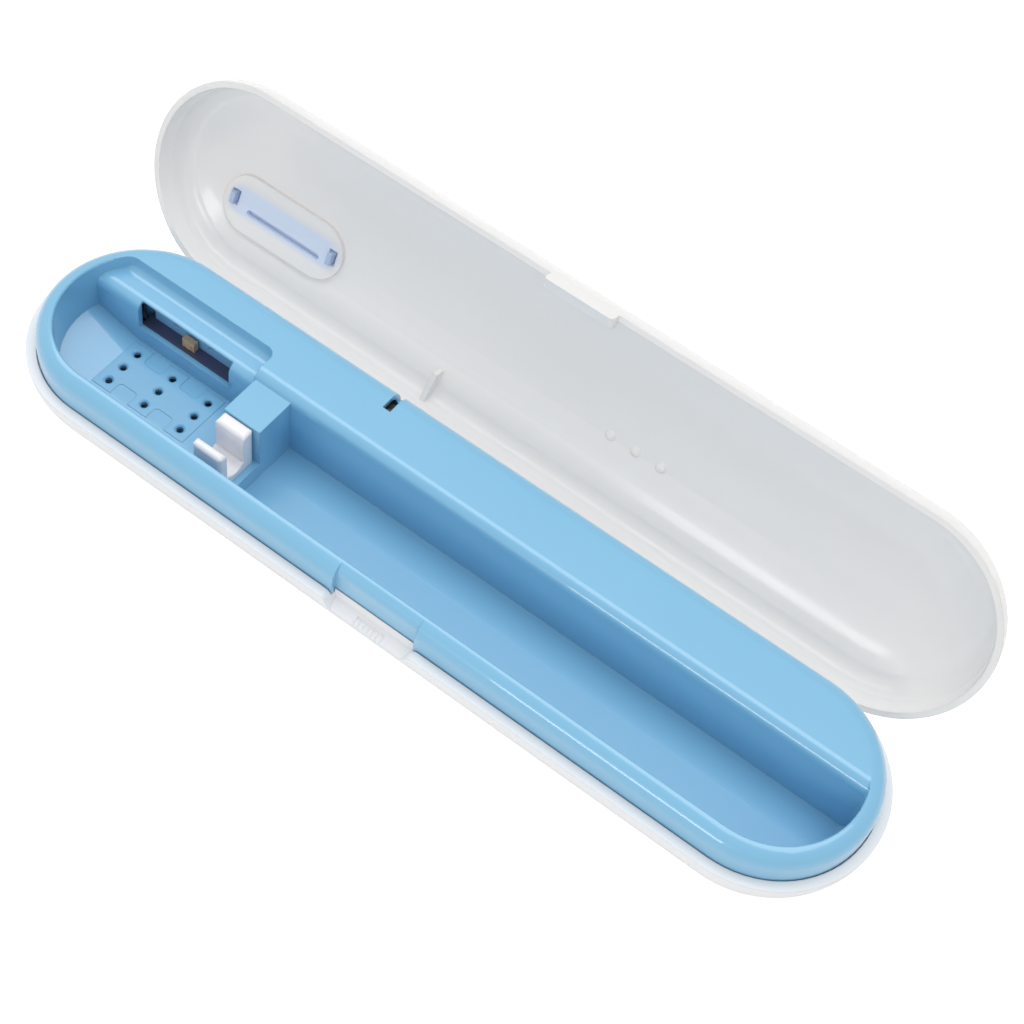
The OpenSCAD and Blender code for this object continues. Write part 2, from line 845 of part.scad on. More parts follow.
// Floor that rises to the end wall beyond the drain panel
module head_ramp() {
    x1 = drain_x - drain_px - 2.95;
    x0 = head_end + case_r - tub_r;
    rotate([90, 0, 0])
        linear_extrude(2 * big, center = true)
            polygon([[x1, head_z], [x1, head_z - 5], [x0 - 1, head_z - 5],
                [x0 - 1, head_z + ramp_h * (x1 - x0 + 1) / (x1 - x0)]]);
}

// Recess over the lamp with its round shoulder and filleted rear wall
module lamp_recess() {
    fillet = 2.4;
    intersection() {
        tub(tub_r, shelf_z - deck_round - 0.5, 0.2, deck_z + 1);
        along_x(-case_len, bay_x1)
            difference() {
                translate([wall_y - 0.5, shelf_z - deck_round])
                    square([bay_y - wall_y + 0.5, 12]);
                translate([wall_y + deck_round, shelf_z - deck_round])
                    circle(deck_round);
                translate([wall_y + deck_round, shelf_z - deck_round - 1])
                    square([20, deck_round + 1]);
                difference() {
                    translate([bay_y - fillet, shelf_z])
                        square(fillet + 1);
                    translate([bay_y - fillet, shelf_z + fillet])
                        circle(fillet);
                    translate([bay_y - fillet, shelf_z + fillet])
                        square(fillet + 1);
                }
            }
        linear_extrude(100)
            recess_plan();
    }
}

// Plan of the recess over the lamp, rounded at both rear corners
module recess_plan() {
    k = tub_r - bay_round;
    cy = bay_y - bay_round;
    dx = sqrt(k * k - cy * cy);
    difference() {
        union() {
            translate([-case_len, -case_len])
                square([case_len + bay_x1, case_len + bay_y - bay_corner]);
            translate([-case_len, -case_len])
                square([case_len + bay_x1 - bay_corner, case_len + bay_y]);
            translate([bay_x1 - bay_corner, bay_y - bay_corner])
                circle(bay_corner);
        }
        polygon([[-half - dx, cy], [-half - dx, cy + 20], [-half - dx - 20, cy + 20],
            [-half - dx * (1 + 20 / k), cy * (1 + 20 / k)]]);
    }
    translate([-half - dx, cy])
        circle(bay_round);
}

// Thin raised panel round the drain holes, notched between them
module drain_panel() {
    w = 2 * drain_py + 5.2;
    translate([drain_x, drain_y, head_z - 1])
        linear_extrude(1 + panel_t)
            difference() {
                translate([-drain_px - 2.9, -w / 2])
                    square([2 * drain_px + 5.8, w]);
                for (i = [-1, 1])
                    for (j = [-1, 1])
                        translate([i * drain_px / 2, j * (drain_py + 1)])
                            soft_box(-2.7, -2.1, 2.7, 2.1, 1.1);
            }
}

// Three rows of three countersunk drain holes
module drains() {
    for (i = [-1:1])
        for (j = [-1:1])
            translate([drain_x + i * drain_px, drain_y + j * drain_py, head_z]) {
                translate([0, 0, -tub_wall - 1])
                    cylinder(h = tub_wall + 2, r = drain_d / 2, $fn = 24);
                translate([0, 0, panel_t - 0.4])
                    cylinder(h = 0.8, r1 = drain_d / 2, r2 = drain_sink / 2 + 0.45, $fn = 24);
            }
}

// Bosses under the deck for the case screws and the board
module bosses() {
    translate([screw_x[0], screw_y[0], joint_z])
        cylinder(h = block_z - 0.5 - joint_z, r = 2.4);
    translate([screw_x[1], screw_y[1], joint_z])
        cylinder(h = deck_z - 0.5 - joint_z, r = 2.4);
    translate([screw_x[2], screw_y[2], joint_z])
        cylinder(h = shelf_z - 0.5 - joint_z, r = 2.4);
    for (s = [-1, 1])
        translate([board_x + s * (board_hole), board_y, board_z + board_t])
            cylinder(h = deck_z - 0.5 - board_z - board_t, r = 2);
}

module boss_bores() {
    for (i = [0:2])
        translate([screw_x[i], screw_y[i], joint_z - 1])
            cylinder(h = bore_l, r = screw_r);
    for (s = [-1, 1])
        translate([board_x + s * (board_hole), board_y, board_z])
            cylinder(h = board_t + board_grip + 0.2, r = 0.8);
}

module case_screws() {
    color("silver")
        for (i = [0:2])
            translate([screw_x[i], screw_y[i], joint_z - screw_sink]) {
                translate([0, 0, -head_h])
                    difference() {
                        cylinder(h = head_h, r = head_r);
                        for (a = [0, 90])
                            rotate([0, 0, a])
                                cube([2.4, 0.5, 1.4], center = true);
                    }
                cylinder(h = screw_l, r = screw_r);
            }
}

// Clip that holds the neck of the brush
module brush_clip() {
    y1 = block_y - 0.1;
    y2 = y1 - clip_rear;
    y3 = y2 - clip_gap;
    y4 = y3 - clip_front;
    x0 = block_x0 + 0.4;
    color("white")
        intersection() {
            along_x(x0, x0 + clip_l)
                difference() {
                    union() {
                        prong(y2, y1);
                        prong(y4, y3);
                        translate([y3 - 0.5, clip_z])
                            square([clip_gap + 1, clip_floor + 1]);
                    }
                    translate([(y2 + y3) / 2, clip_z + clip_floor + clip_gap / 2])
                        circle(clip_gap / 2);
                }
            translate([0, 0, clip_z - 1])
                linear_extrude(clip_h + 2)
                    soft_box(x0, y4, x0 + clip_l, y1, clip_round);
            rotate([90, 0, 0])
                linear_extrude(2 * big, center = true)
                    soft_box(x0, clip_z - 2 * clip_round, x0 + clip_l, clip_z + clip_h, clip_round);
        }
}

// Prong of the clip with a rounded top, as y against z
module prong(ya, yb) {
    soft_box(ya, clip_z, yb, clip_z + clip_h, clip_round);
    translate([ya, clip_z])
        square([yb - ya, 2 * clip_round]);
}

// Rectangle with rounded corners
module soft_box(xa, ya, xb, yb, r) {
    translate([xa + r, ya])
        square([xb - xa - 2 * r, yb - ya]);
    translate([xa, ya + r])
        square([xb - xa, yb - ya - 2 * r]);
    for (x = [xa + r, xb - r])
        for (y = [ya + r, yb - r])
            translate([x, y])
                circle(r, $fn = 32);
}

// Narrow board along the foot of the lamp bay
module lamp_board() {
    color([0.26, 0.24, 0.33])
        span([lamp_x - lamp_l / 2 - 0.6, lamp_board_y, lamp_board_z],
            [lamp_x + lamp_l / 2 + 0.6, lamp_board_y + lamp_board_w, lamp_board_z + lamp_board_t]);
}

// Lamp chip on edge at the middle of its board
module lamp_chip() {
    y0 = lamp_board_y + lamp_board_w - reflector_t - 0.5 - led_t;
    z0 = lamp_board_z + lamp_board_t;
    color([0.72, 0.55, 0.32]) {
        span([led_x - led_w / 2, y0, z0], [led_x + led_w / 2, y0 + led_t, z0 + led_h]);
        translate([led_x, y0 - 0.25, z0 + led_h / 2])
            rotate([-90, 0, 0])
                cylinder(h = 0.5, r = 1.1);
    }
}

// Reflector behind the lamp chip, with two small vents
module lamp_reflector() {
    y1 = lamp_board_y + lamp_board_w;
    z0 = lamp_board_z + lamp_board_t;
    color("lightskyblue")
        difference() {
            span([lamp_x - lamp_l / 2 + 1, y1 - reflector_t, z0],
                [lamp_x + lamp_l / 2 + 0.4, y1, shelf_z - tub_wall - 0.1]);
            for (s = [-1, 1])
                translate([led_x + s * vent_out, y1 - reflector_t / 2, z0 + vent_up])
                    cube([1.3, 4, 0.5], center = true);
        }
}

module hinge_pins() {
    color("silver")
        for (s = [-1, 1])
            on_axis(s * hinge_x - pin_l / 2, s * hinge_x + pin_l / 2, pin_r);
}

// Turns what is drawn closed to the open stop
module opened() {
    translate([0, axis_y, axis_z])
        rotate([-open_angle, 0, 0])
            translate([0, -axis_y, -axis_z])
                children();
}

// Outside of the closed lid
module lid_outside() {
    translate([0, 0, base_h])
        run_round()
            polygon(concat([[0, rim_gap], [case_r, rim_gap]], dome(case_r, crown_r, lid_band, lid_h),
                [[0, lid_h]]));
}

// Inside of the closed lid
module lid_inside() {
    translate([0, 0, base_h])
        run_round()
            polygon(concat([[0, -1], [case_r - lid_wall, -1]],
                dome(case_r - lid_wall, crown_r - 0.5, lid_band, lid_h - lid_wall),
                [[0, lid_h - lid_wall]]));
}

// Room that the lid leaves over the tray
module tray_room() {
    gap = 0.35;
    r0 = tray_r - tray_round;
    z0 = deck_h - tray_round;
    translate([0, 0, base_h])
        run_round()
            polygon(concat([[0, -1], [rabbet_r, -1], [rabbet_r, z0 - 1]],
                arc(r0, z0, tray_round + gap, 4, 90), [[0, deck_h + gap]]));
}

module lid_shell() {
    color([0.93, 0.94, 0.95])
        opened()
            difference() {
                union() {
                    difference() {
                        lid_outside();
                        lid_inside();
                        tray_room();
                    }
                    intersection() {
                        lid_outside();
                        union() {
                            window_boss();
                            for (i = [-1:1])
                                translate([pip_x + i * pip_pitch, pip_y, crown_z - lid_wall + 0.7])
                                    sphere(pip_d / 2, $fn = 32);
                            switch_rib();
                        }
                    }
                    tongue();
                    for (s = [-1, 1])
                        lid_hinge(s * hinge_x);
                }
                window_recess();
                for (s = [-1, 1]) {
                    on_axis(s * hinge_x - lid_knuckle, s * hinge_x + lid_knuckle, pin_r + pin_clear);
                    for (k = [-1, 1])
                        on_axis(s * hinge_x + k * (lid_knuckle + base_knuckle + 2 * knuckle_gap) / 2
                            - base_knuckle / 2 - knuckle_gap,
                            s * hinge_x + k * (lid_knuckle + base_knuckle + 2 * knuckle_gap) / 2
                            + base_knuckle / 2 + knuckle_gap, knuckle_r + 0.35);
                }
            }
}

// Oval boss round the window, on the inside of the lid
module window_boss() {
    difference() {
        translate([window_x, window_y, low_z])
            linear_extrude(lid_h)
                long_oval(boss_l, boss_w);
        translate([0, 0, -boss_t])
            lid_inside();
    }
}

// Seat of the window with its three openings
module window_recess() {
    difference() {
        translate([window_x, window_y, low_z])
            linear_extrude(lid_h)
                long_oval(window_l + 0.2, window_w + 0.2);
        translate([0, 0, -window_t - 0.05])
            lid_outside();
    }
    for (s = [-1, 1])
        window_slot(window_x + s * hook_x, window_y - 0.15, 2.3, 3.9);
    translate([window_x + 0.4, window_y + 1.95, base_h + 6])
        linear_extrude(12)
            long_oval(window_l - 11.7, 1.5);
}

module window_slot(x, y, l, w) {
    translate([x, y, base_h + 10])
        cube([l, w, 12], center = true);
}

// Gusset on the rear wall that goes through the deck and presses the switch
module switch_rib() {
    top = deck_z + 6;
    along_x(slot_x - rib_t / 2, slot_x + rib_t / 2)
        polygon([[rib_y0, rib_tip], [rib_y1, rib_tip], [rib_foot_y, rib_foot_z],
            [rabbet_r + 0.5, rib_foot_z], [rabbet_r + 0.5, top], [rib_y0, top]]);
}

// Tongue at the front of the lid that snaps over the slope
module tongue() {
    y_in = step_top + tongue_clear;
    y_foot = step_foot + tongue_clear;
    z_in = base_h - snap_step + tongue_clear;
    z_out = z_in - (case_r - y_foot) * tan(slope_a);
    intersection() {
        along_x(-tongue_w / 2, tongue_w / 2)
            polygon([[-rabbet_r - 0.2, base_h + 1.8], [-y_in, base_h + 0.6], [-y_foot, z_in],
                [-case_r, z_out], [-case_r, base_h + 1.2]]);
        translate([0, -y_foot, z_in])
            rotate([slope_a, 0, 0])
                rotate([90, 0, 0])
                    translate([0, 0, -5])
                        linear_extrude(20)
                            tongue_outline(tongue_w / 2 - tongue_round, tongue_round);
    }
}

// Open-topped outline with a flat foot and rounded lower corners
module tongue_outline(w, r) {
    translate([-w, 0])
        square([2 * w, 12]);
    translate([-w - r, r])
        square([2 * (w + r), 12 - r]);
    for (s = [-1, 1])
        translate([s * w, r])
            circle(r);
}

// Barrel and arm of one lid knuckle
module lid_hinge(x) {
    on_axis(x - lid_knuckle / 2, x + lid_knuckle / 2, knuckle_r);
    span([x - lid_knuckle / 2, axis_y - 0.4, axis_z], [x + lid_knuckle / 2, case_r, base_h + rim_gap + 0.6]);
}

// Clear blue window, flush with the lid and held by two hooks
module lid_window() {
    color([0.62, 0.76, 0.96])
        opened() {
            difference() {
                intersection() {
                    lid_outside();
                    translate([window_x, window_y, low_z])
                        linear_extrude(lid_h)
                            long_oval(window_l, window_w);
                }
                translate([0, 0, -window_t])
                    lid_outside();
            }
            for (s = [-1, 1])
                window_hook(s);
        }
}

module window_hook(s) {
    x = window_x + s * hook_x;
    z0 = crown_z - 4.3;
    span([x - 0.6, window_y - 1.6, z0], [x + 0.6, window_y + 1.3, crown_z - 0.85]);
}

base_shell();
battery_door();
battery_cell_1();
battery_cell_2();
spring_contact();
plate_contact();
main_board();
timer_chip();
capacitor();
board_screws();
switch_body();
switch_plunger();
switch_dome();
tray();
case_screws();
brush_clip();
lamp_board();
lamp_chip();
lamp_reflector();
hinge_pins();
lid_shell();
lid_window();
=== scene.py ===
import json
import math

import bmesh
import bpy
from mathutils import Matrix, Vector


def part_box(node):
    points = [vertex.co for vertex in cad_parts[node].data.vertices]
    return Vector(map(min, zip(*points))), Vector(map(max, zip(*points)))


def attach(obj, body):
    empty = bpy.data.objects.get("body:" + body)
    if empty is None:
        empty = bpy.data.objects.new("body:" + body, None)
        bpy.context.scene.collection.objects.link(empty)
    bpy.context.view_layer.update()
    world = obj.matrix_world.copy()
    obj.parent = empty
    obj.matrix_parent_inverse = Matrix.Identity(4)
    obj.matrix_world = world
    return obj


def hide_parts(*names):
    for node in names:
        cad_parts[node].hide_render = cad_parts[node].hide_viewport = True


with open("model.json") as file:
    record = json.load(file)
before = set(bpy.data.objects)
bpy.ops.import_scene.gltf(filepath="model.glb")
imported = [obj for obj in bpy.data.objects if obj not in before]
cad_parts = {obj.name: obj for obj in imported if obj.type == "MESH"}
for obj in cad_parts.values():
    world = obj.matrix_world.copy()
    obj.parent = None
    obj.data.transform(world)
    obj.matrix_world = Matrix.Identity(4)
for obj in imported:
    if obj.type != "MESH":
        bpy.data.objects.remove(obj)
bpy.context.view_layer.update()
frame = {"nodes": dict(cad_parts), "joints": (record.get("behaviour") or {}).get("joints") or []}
nodes = frame["nodes"]
scene = bpy.context.scene

# Camera. The case stands open and is seen from the front right and well above,
# so that it falls from the upper left of the picture to the lower right.


def aim(thing, place, towards, roll=0.0):
    """Puts a camera or lamp at a place, looking at a point, turned by roll."""
    back = (Vector(place) - Vector(towards)).normalized()
    across = Vector((0, 0, 1)).cross(back).normalized()
    upward = back.cross(across)
    turned = across * math.cos(roll) + upward * math.sin(roll)
    raised = upward * math.cos(roll) - across * math.sin(roll)
    thing.matrix_world = Matrix.Translation(place) @ Matrix((turned, raised, back)).transposed().to_4x4()


view_turn = math.radians(26.52)
view_rise = math.radians(56.22)
view_roll = math.radians(11.36)
view_reach = 0.42089
view_target = Vector((0.00689, 0.01774, 0.0165))
view_back = Vector(
    (
        math.sin(view_turn) * math.cos(view_rise),
        -math.cos(view_turn) * math.cos(view_rise),
        math.sin(view_rise),
    )
)
camera = bpy.data.objects.new("camera", bpy.data.cameras.new("camera"))
camera.data.sensor_width = 36
camera.data.lens = 66.30
camera.data.clip_start = 0.02
scene.collection.objects.link(camera)
aim(camera, view_target + view_back * view_reach, view_target, view_roll)
scene.camera = camera
scene.view_settings.view_transform = "Standard"

# Studio light. The room is white all round, with one wide soft light overhead
# and a small one low in front for the bright lines along the rounded edges.
room_strength = 0.68
backdrop_strength = 1.05
studio = bpy.data.worlds.new("studio")
scene.world = studio
studio.use_nodes = True
studio_tree = studio.node_tree
room = studio_tree.nodes["Background"]
backdrop = studio_tree.nodes.new("ShaderNodeBackground")
for light, strength in ((room, room_strength), (backdrop, backdrop_strength)):
    light.inputs["Color"].default_value = (1.0, 1.0, 1.0, 1)
    light.inputs["Strength"].default_value = strength
studio_mix = studio_tree.nodes.new("ShaderNodeMixShader")
studio_path = studio_tree.nodes.new("ShaderNodeLightPath")
studio_tree.links.new(studio_path.outputs["Is Camera Ray"], studio_mix.inputs[0])
studio_tree.links.new(room.outputs[0], studio_mix.inputs[1])
studio_tree.links.new(backdrop.outputs[0], studio_mix.inputs[2])
studio_tree.links.new(studio_mix.outputs[0], studio_tree.nodes["World Output"].inputs["Surface"])

softboxes = [
    # name, place, aimed at, width, height, watts
    ("overhead", (-0.15, 0.171, 0.90), (-0.15, 0.19, 0.0), 1.3, 0.542, 4.6),
    ("front strip", (-0.025, -0.85, 0.36), (-0.025, 0.0, 0.0), 0.27, 0.16, 0.8),
]
for name, place, target, wide, tall, watts in softboxes:
    lamp = bpy.data.lights.new(name, "AREA")
    lamp.shape = "RECTANGLE"
    lamp.size = wide
    lamp.size_y = tall
    lamp.energy = watts
    holder = bpy.data.objects.new(name, lamp)
    scene.collection.objects.link(holder)
    aim(holder, place, target)

# Table. A matt white top that the camera sees lifted towards pure white, while
# the case itself is lit by the plain matt surface. From below it is clear.


class Value:
    """A number that changes over a surface; sums and products of it add Math nodes."""

    def __init__(self, tree, socket):
        self.tree = tree
        self.socket = socket

    def maths(self, operation, first, second):
        step = self.tree.nodes.new("ShaderNodeMath")
        step.operation = operation
        for slot, term in zip(step.inputs, (first, second)):
            if isinstance(term, Value):
                self.tree.links.new(term.socket, slot)
            else:
                slot.default_value = term
        return Value(self.tree, step.outputs[0])

    def __add__(self, other):
        return self.maths("ADD", self, other)

    def __sub__(self, other):
        return self.maths("SUBTRACT", self, other)

    def __rsub__(self, other):
        return self.maths("SUBTRACT", other, self)

    def __mul__(self, other):
        return self.maths("MULTIPLY", self, other)

    def __pow__(self, other):
        return self.maths("POWER", self, other)

    def __gt__(self, other):
        return self.maths("GREATER_THAN", self, other)

    def __lt__(self, other):
        return self.maths("LESS_THAN", self, other)

    def __abs__(self):
        return self.maths("ABSOLUTE", self, 0.0)

    def at_least(self, floor):
        return self.maths("MAXIMUM", self, floor)

    __radd__ = __add__
    __rmul__ = __mul__


class Finish:
    """The material of one finish; node() adds any node with its settings and sockets."""

    def __init__(self, name):
        self.material = bpy.data.materials.new(name)
        self.material.use_nodes = True
        self.tree = self.material.node_tree
        self.tree.nodes.clear()
        self.place = self.node("TexCoord").outputs["Object"]

    def node(self, kind, settings=None, **sockets):
        """A socket is given by its name, or by its number as s0, s1 and so on."""
        made = self.tree.nodes.new("ShaderNode" + kind)
        for key, setting in (settings or {}).items():
            setattr(made, key, setting)
        for key, given in sockets.items():
            numbered = key[1:].isdigit()
            slot = made.inputs[int(key[1:]) if numbered else key.replace("_", " ")]
            if isinstance(given, Value):
                self.tree.links.new(given.socket, slot)
            elif isinstance(given, bpy.types.NodeSocket):
                self.tree.links.new(given, slot)
            else:
                slot.default_value = given
        return made

    def value(self, made, output=0):
        return Value(self.tree, made.outputs[output])

    def noise(self, size, detail=2.0):
        """Soft blotches of about the given size in metres, from 0 to 1."""
        return self.value(self.node("TexNoise", Vector=self.place, Scale=1 / size, Detail=detail))

    def blend(self, amount, first, second):
        mix = self.node("Mix", {"data_type": "RGBA"}, s0=amount, s6=first, s7=second)
        return mix.outputs[2]

    def close(self, shader):
        self.node("OutputMaterial", Surface=shader.outputs[0])
        return self.material


table_reach = 4.0
table_drop = 0.0001
table_glow = 1.35
seen_share = 0.66
bounced_share = 0.3
table_white = Finish("table_white")
paint = table_white.blend(table_white.noise(0.5), (0.90, 0.90, 0.90, 1), (0.93, 0.93, 0.93, 1))
matt = table_white.node("BsdfDiffuse", Color=paint)
lifted = table_white.node("Emission", Color=(1, 1, 1, 1), Strength=table_glow)
path = table_white.node("LightPath")
seen_rays = table_white.value(path, "Is Camera Ray") + table_white.value(path, "Is Transmission Ray")
bounced_rays = table_white.value(path, "Is Diffuse Ray")
lift = seen_share * seen_rays + bounced_share * bounced_rays
top = table_white.node("MixShader", s0=lift, s1=matt.outputs[0], s2=lifted.outputs[0])
from_below = table_white.value(table_white.node("NewGeometry"), "Backfacing")
clear = table_white.node("BsdfTransparent")
both = table_white.node("MixShader", s0=from_below, s1=top.outputs[0], s2=clear.outputs[0])
table_top = bpy.data.meshes.new("table_top")
table_corners = [
    (side * table_reach, end * table_reach, -table_drop)
    for side, end in ((-1, -1), (1, -1), (1, 1), (-1, 1))
]
table_top.from_pydata(table_corners, [], [(0, 1, 2, 3)])
table_top.materials.append(table_white.close(both))
table = bpy.data.objects.new("table_top", table_top)
scene.collection.objects.link(table)

# Lower shell and battery door: white injection mouldings with a satin skin.
# The shell carries the tray, the cell bay, the screw posts and the outer hinge
# knuckles, and the door closes the bay from below.


def moulded_skin(finish, edge):
    """The fine grain of a moulded skin, over edges that are rounded off by edge."""
    grain_size = 0.0011
    grain_height = 0.000004
    grain = finish.noise(grain_size, 3.0)
    rounded = finish.node("Bevel", {"samples": 6}, Radius=edge)
    bump = finish.node("Bump", Strength=0.5, Distance=grain_height, Height=grain, Normal=rounded.outputs[0])
    return bump.outputs[0]


def handled(finish, gloss):
    """Roughness about gloss, a little uneven where the case has been handled."""
    smudge_size = 0.011
    smudge_depth = 0.06
    return gloss + (finish.noise(smudge_size, 4.0) - 0.5) * smudge_depth


def plastic(name, colour, shade, gloss, edge=0.00025, **extra):
    """Moulded plastic whose colour drifts to shade over a few centimetres."""
    drift_size = 0.03
    finish = Finish(name)
    drift = finish.noise(drift_size, 3.0)
    shader = finish.node(
        "BsdfPrincipled",
        Base_Color=finish.blend(drift, (*colour, 1), (*shade, 1)),
        Roughness=handled(finish, gloss),
        Normal=moulded_skin(finish, edge),
        **extra,
    )
    return finish.close(shader)


def moulded(node, body, material):
    """Shows a copy of a CAD node whose faces run softly into one another, up to the crease angle."""
    crease = math.radians(24.0)
    merge_within = 0.000002
    mesh = nodes[node].data.copy()
    mesh.attributes.remove(mesh.attributes["custom_normal"])
    shape = bmesh.new()
    shape.from_mesh(mesh)
    bmesh.ops.remove_doubles(shape, verts=shape.verts, dist=merge_within)
    for face in shape.faces:
        face.smooth = True
    for edge in shape.edges:
        edge.smooth = edge.calc_face_angle(0.0) < crease
    shape.to_mesh(mesh)
    shape.free()
    mesh.materials.clear()
    mesh.materials.append(material)
    rough = bpy.data.objects.new(node + "_rough", mesh)
    scene.collection.objects.link(rough)
    weigh = rough.modifiers.new("weigh", "WEIGHTED_NORMAL")
    weigh.keep_sharp = True
    weigh.weight = 80
    smoothed = rough.evaluated_get(bpy.context.evaluated_depsgraph_get())
    piece = bpy.data.objects.new(node + "_moulded", bpy.data.meshes.new_from_object(smoothed))
    bpy.data.objects.remove(rough)
    scene.collection.objects.link(piece)
    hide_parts(node)
    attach(piece, body)


shell_white = plastic("shell_white", (0.86, 0.87, 0.89), (0.84, 0.85, 0.87), gloss=0.28)
moulded("base_shell", "base", shell_white)
moulded("battery_door", "door", shell_white)

# Grip dots: the thumb finds the snap by three rows of low dots, moulded with
# the shell on the slope under the lid's tongue.


def grown(name, material, settings, build):
    """A plain mesh from a node group with named inputs; build(node, given) returns its last geometry."""
    group = bpy.data.node_groups.new(name, "GeometryNodeTree")
    group.interface.new_socket("Geometry", in_out="OUTPUT", socket_type="NodeSocketGeometry")
    named = {}
    for label, setting in settings.items():
        kind = "NodeSocketInt" if isinstance(setting, int) else "NodeSocketFloat"
        named[label] = group.interface.new_socket(label, in_out="INPUT", socket_type=kind)

    def node(kind, **sockets):
        made = group.nodes.new("GeometryNode" + kind)
        for key, wanted in sockets.items():
            slot = made.inputs[key.replace("_", " ")]
            if isinstance(wanted, bpy.types.NodeSocket):
                group.links.new(wanted, slot)
            else:
                slot.default_value = wanted
        return made.outputs[0]

    given = group.nodes.new("NodeGroupInput").outputs
    solid = node("RealizeInstances", Geometry=build(node, given))
    painted = node("SetMaterial", Geometry=node("SetShadeSmooth", Geometry=solid), Material=material)
    group.links.new(painted, group.nodes.new("NodeGroupOutput").inputs[0])
    grower = bpy.data.objects.new(name + "_grower", bpy.data.meshes.new(name + "_seed"))
    scene.collection.objects.link(grower)
    step = grower.modifiers.new("grow", "NODES")
    step.node_group = group
    for label, setting in settings.items():
        step[named[label].identifier] = setting
    full_grown = grower.evaluated_get(bpy.context.evaluated_depsgraph_get())
    piece = bpy.data.objects.new(name, bpy.data.meshes.new_from_object(full_grown))
    bpy.data.objects.remove(grower)
    scene.collection.objects.link(piece)
    return piece


def dots(node, given):
    spots = node(
        "MeshGrid",
        Size_X=given["Length"],
        Size_Y=given["Depth"],
        Vertices_X=given["Columns"],
        Vertices_Y=given["Rows"],
    )
    bead = node("MeshUVSphere", Segments=16, Rings=10, Radius=given["Radius"])
    return node("InstanceOnPoints", Points=spots, Instance=bead, Scale=(1.0, 1.0, 0.4))


slope_rise = 0.0012
slope_run = 0.0032
slope = Matrix.Rotation(math.atan2(slope_rise, slope_run), 4, "X")
slope_middle = Vector((0.0, -0.0252, 0.01345))
grip = grown(
    "grip_dots",
    shell_white,
    {"Length": 0.0072, "Depth": 0.0011, "Columns": 7, "Rows": 3, "Radius": 0.00027},
    dots,
)
grip.data.transform(Matrix.Translation(slope_middle) @ slope)
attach(grip, "base")

# Cells: two round dry cells in line, each a bare metal can with a plain green
# sleeve that has one light band and leaves the two ends free.
bare_foot = 0.0030
bare_head = 0.0012
band_from = 0.0100
band_to = 0.0112


def dress(node, material):
    """Gives a CAD node its finish."""
    mesh = nodes[node].data
    mesh.materials.clear()
    mesh.materials.append(material)


for cell in ("battery_cell_1", "battery_cell_2"):
    low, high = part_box(cell)
    finish = Finish(cell + "_finish")
    reach = finish.value(finish.node("SeparateXYZ", Vector=finish.place))
    covered = (reach > low.x + bare_foot) * (reach < high.x - bare_head)
    banded = (reach > low.x + band_from) * (reach < low.x + band_to)
    sleeve = finish.blend(banded, (0.05, 0.26, 0.16, 1), (0.75, 0.76, 0.74, 1))
    shader = finish.node(
        "BsdfPrincipled",
        Base_Color=finish.blend(covered, (0.72, 0.72, 0.74, 1), sleeve),
        Metallic=1.0 - covered,
        Roughness=0.28 + finish.noise(0.002) * 0.1,
    )
    dress(cell, finish.close(shader))

# Contacts, pins and screws: nickel-plated spring steel and zinc-plated steel,
# brushed a little where they were formed.


def steel(name, colour, gloss):
    """Plated steel with fine drawn lines along the piece."""
    finish = Finish(name)
    stretch = finish.node("Mapping", Vector=finish.place, Scale=(1.0, 30.0, 30.0))
    lines = finish.value(finish.node("TexNoise", Vector=stretch.outputs[0], Scale=400.0, Detail=3.0))
    bump = finish.node("Bump", Strength=0.3, Distance=0.000004, Height=lines)
    darker = [share * 0.86 for share in colour]
    shader = finish.node(
        "BsdfPrincipled",
        Base_Color=finish.blend(lines, (*colour, 1), (*darker, 1)),
        Metallic=1.0,
        Roughness=gloss + lines * 0.12,
        Normal=bump.outputs[0],
    )
    return finish.close(shader)


nickel = steel("nickel_plate", (0.78, 0.76, 0.72), gloss=0.18)
zinc = steel("zinc_plate", (0.66, 0.67, 0.70), gloss=0.26)
for piece in ("plate_contact", "switch_dome"):
    dress(piece, nickel)
for piece in ("board_screws", "case_screws", "hinge_pins"):
    dress(piece, zinc)

# The spring at the tail end of the bay: a coil that narrows towards the cell,
# wound from round wire and standing on a thin stamped plate.
spring_low, spring_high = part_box("spring_contact")
cell_low, cell_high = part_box("battery_cell_2")
cell_middle = (cell_low + cell_high) / 2
wire_radius = 0.00035
plate_thickness = 0.0004
plate_corner = 0.0012
plate_foot = 0.00375
corner_steps = 6
plate_x = spring_high.x - plate_thickness
wire_x = plate_x - wire_radius


def coil(node, given):
    turns = node(
        "CurveSpiral",
        Resolution=28,
        Rotations=given["Turns"],
        Start_Radius=given["Foot radius"],
        End_Radius=given["Tip radius"],
        Height=given["Height"],
    )
    round_wire = node("CurvePrimitiveCircle", Resolution=12, Radius=given["Wire radius"])
    return node("CurveToMesh", Curve=turns, Profile_Curve=round_wire, Fill_Caps=True)


spring = grown(
    "contact_spring",
    nickel,
    {
        "Turns": 5.25,
        "Foot radius": 0.0034,
        "Tip radius": 0.0019,
        "Height": plate_x - spring_low.x - 2 * wire_radius,
        "Wire radius": wire_radius,
    },
    coil,
)
towards_cell = Matrix.Rotation(-math.pi / 2, 4, "Y")
spring.data.transform(Matrix.Translation((wire_x, cell_middle.y, cell_middle.z)) @ towards_cell)

